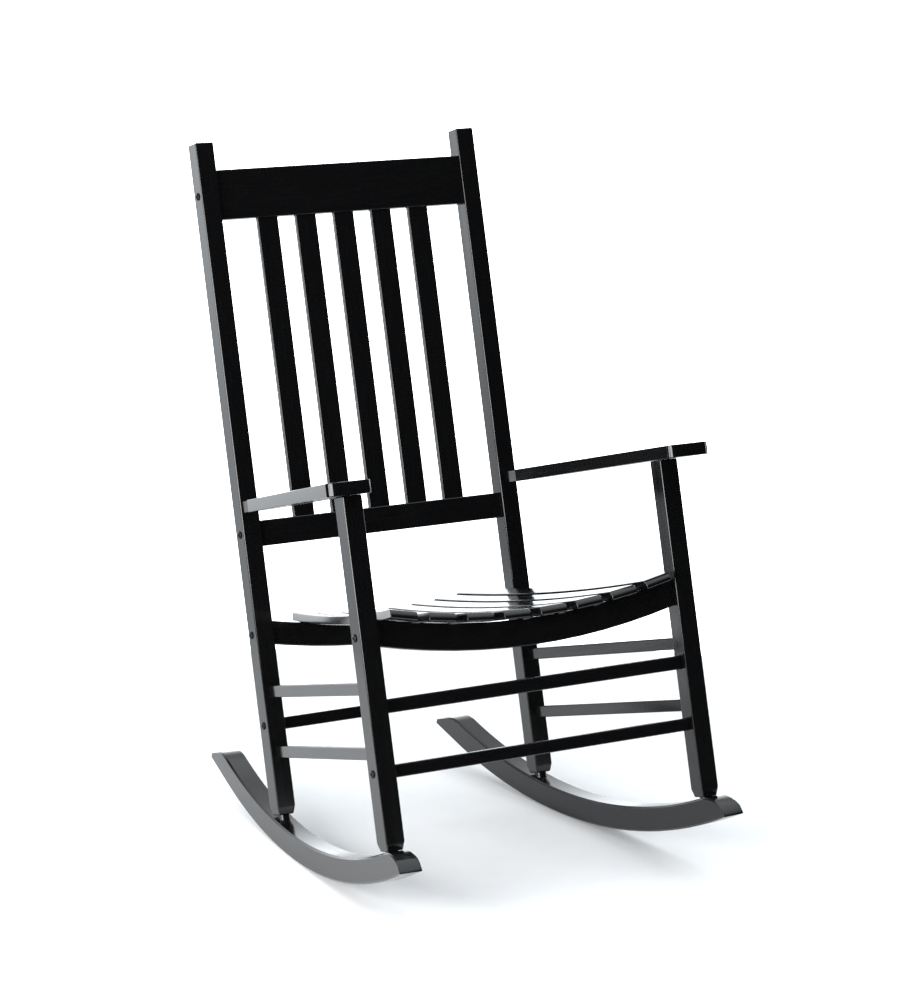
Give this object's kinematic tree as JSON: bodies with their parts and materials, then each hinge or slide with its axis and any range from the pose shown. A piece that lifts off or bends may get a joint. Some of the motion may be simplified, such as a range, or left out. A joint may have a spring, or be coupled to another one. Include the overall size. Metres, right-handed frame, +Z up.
{
  "type": "rocking chair",
  "caption": "Black lacquered wooden porch rocking chair with flat arms, a slatted back and a scooped slatted seat on curved rockers.",
  "frame": {"origin": "centre of the chair's footprint, on the floor", "axes": "+Z up; -Y is the way the sitter faces; +X is the sitter's left"},
  "size_m": [0.6926, 0.8465, 1.1502],
  "materials": {
    "black_lacquered_wood": "semi-gloss black lacquer on hardwood",
    "blackened_steel": "black oxide, satin",
    "zinc_plated_steel": "zinc plated, satin"
  },
  "bodies": {
    "root": {"armrest_l": "black_lacquered_wood", "armrest_r": "black_lacquered_wood", "rear_post_l": "black_lacquered_wood", "rear_post_r": "black_lacquered_wood", "front_post_l": "black_lacquered_wood", "front_post_r": "black_lacquered_wood", "rocker_l": "black_lacquered_wood", "rocker_r": "black_lacquered_wood", "crest_rail": "black_lacquered_wood", "lower_back_rail": "black_lacquered_wood", "front_seat_rail": "black_lacquered_wood", "rear_seat_rail": "black_lacquered_wood", "rear_stretcher": "black_lacquered_wood", "front_stretcher_upper": "black_lacquered_wood", "front_stretcher_lower": "black_lacquered_wood", "side_stretcher_upper_l": "black_lacquered_wood", "side_stretcher_upper_r": "black_lacquered_wood", "side_stretcher_lower_l": "black_lacquered_wood", "side_stretcher_lower_r": "black_lacquered_wood", "back_slat_1": "black_lacquered_wood", "back_slat_2": "black_lacquered_wood", "back_slat_3": "black_lacquered_wood", "back_slat_4": "black_lacquered_wood", "back_slat_5": "black_lacquered_wood", "seat_slat_1": "black_lacquered_wood", "seat_slat_2": "black_lacquered_wood", "seat_slat_3": "black_lacquered_wood", "seat_slat_4": "black_lacquered_wood", "seat_slat_5": "black_lacquered_wood", "seat_slat_6": "black_lacquered_wood", "seat_slat_7": "black_lacquered_wood", "seat_slat_8": "black_lacquered_wood", "foot_dowel_front_l": "black_lacquered_wood", "foot_dowel_front_r": "black_lacquered_wood", "foot_dowel_rear_l": "black_lacquered_wood", "foot_dowel_rear_r": "black_lacquered_wood", "bolt_crest_l": "blackened_steel", "bolt_crest_r": "blackened_steel", "bolt_back_l": "blackened_steel", "bolt_back_r": "blackened_steel", "bolt_seat_front_l": "blackened_steel", "bolt_seat_front_r": "blackened_steel", "bolt_seat_rear_l": "blackened_steel", "bolt_seat_rear_r": "blackened_steel", "bolt_rear_stretcher_l": "blackened_steel", "bolt_rear_stretcher_r": "blackened_steel", "bolt_front_stretcher_l": "blackened_steel", "bolt_front_stretcher_r": "blackened_steel", "barrel_nut_crest_l": "zinc_plated_steel", "barrel_nut_crest_r": "zinc_plated_steel", "barrel_nut_back_l": "zinc_plated_steel", "barrel_nut_back_r": "zinc_plated_steel", "barrel_nut_seat_front_l": "zinc_plated_steel", "barrel_nut_seat_front_r": "zinc_plated_steel", "barrel_nut_seat_rear_l": "zinc_plated_steel", "barrel_nut_seat_rear_r": "zinc_plated_steel", "barrel_nut_rear_stretcher_l": "zinc_plated_steel", "barrel_nut_rear_stretcher_r": "zinc_plated_steel", "barrel_nut_front_stretcher_l": "zinc_plated_steel", "barrel_nut_front_stretcher_r": "zinc_plated_steel"}
  },
  "joints": []
}
